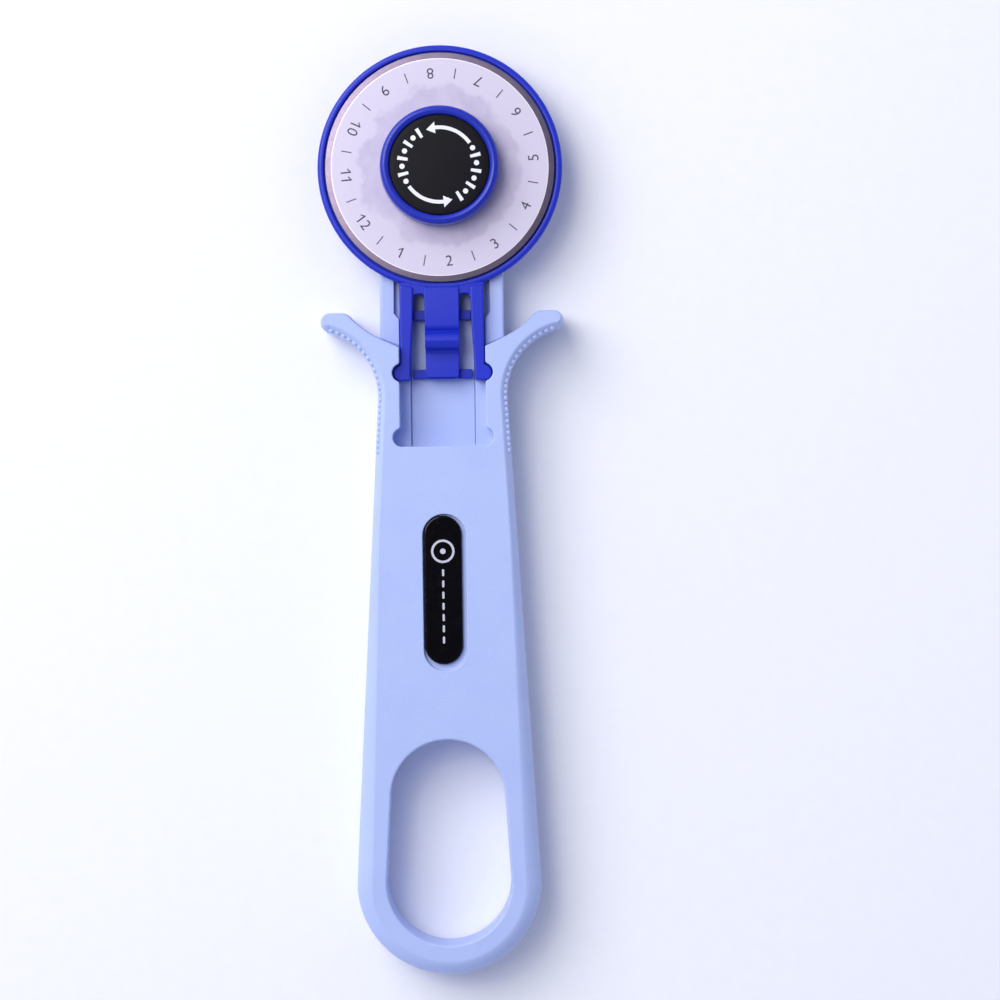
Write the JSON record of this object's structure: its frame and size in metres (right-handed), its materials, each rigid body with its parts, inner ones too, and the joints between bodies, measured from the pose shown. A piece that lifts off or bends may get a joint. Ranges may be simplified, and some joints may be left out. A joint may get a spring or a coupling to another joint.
{
  "type": "rotary cutter",
  "caption": "Flat loop-handled rotary cutter with finger wings, a disc blade under a round clamp knob, and a sliding ring guard with a thumb tongue and spring legs",
  "frame": {"origin": "under the middle of the whole cutter, on the surface that it lies on, with its front face up", "axes": "+X across the handle, +Y along the handle towards the blade, +Z out of the front face"},
  "size_m": [0.0482, 0.1826, 0.0171],
  "materials": {
    "handle_plastic": "satin moulded, light blue",
    "guard_plastic": "semi-gloss moulded, royal blue",
    "cap_plastic": "satin black with white print",
    "badge_plastic": "polished black",
    "blade_steel": "ground and polished tool steel",
    "bolt_steel": "zinc plated",
    "spring_steel": "hardened, oiled",
    "screw_steel": "zinc plated",
    "nut_brass": "turned",
    "bush_plastic": "natural white acetal"
  },
  "bodies": {
    "handle": {"handle_back": "handle_plastic", "handle_front": "handle_plastic", "handle_screws": "screw_steel", "badge_plate": "badge_plastic", "pivot_bolt": "bolt_steel", "slide_bush": "bush_plastic"},
    "guard": {"blade_guard": "guard_plastic", "guard_legs": "guard_plastic"},
    "blade": {"blade": "blade_steel"},
    "washers": {"flat_washer": "bolt_steel", "spring_washer": "spring_steel"},
    "knob": {"knob": "guard_plastic", "knob_nut": "nut_brass", "knob_cap": "cap_plastic"}
  },
  "joints": [
    {"name": "guard_slide", "type": "slide", "parent": "handle", "child": "guard", "axis": [0, -1, 0], "range_m": [0, 0.0127], "deforming": ["guard_legs"]},
    {"name": "blade_spin", "type": "hinge", "parent": "handle", "child": "blade", "pos_m": [0, 0.06725, 0.0107], "axis": [0, 0, 1], "continuous": true},
    {"name": "knob_lift", "type": "slide", "parent": "handle", "child": "washers", "axis": [0, 0, 1], "range_m": [0, 0.00301]},
    {"name": "knob_turn", "type": "hinge", "parent": "washers", "child": "knob", "pos_m": [0, 0.06725, 0.014], "axis": [0, 0, 1], "range_deg": [0, 1080]}
  ],
  "couplings": [
    {"joint": "knob_lift", "follows": "knob_turn", "m_per_rad": 0.00015915}
  ]
}
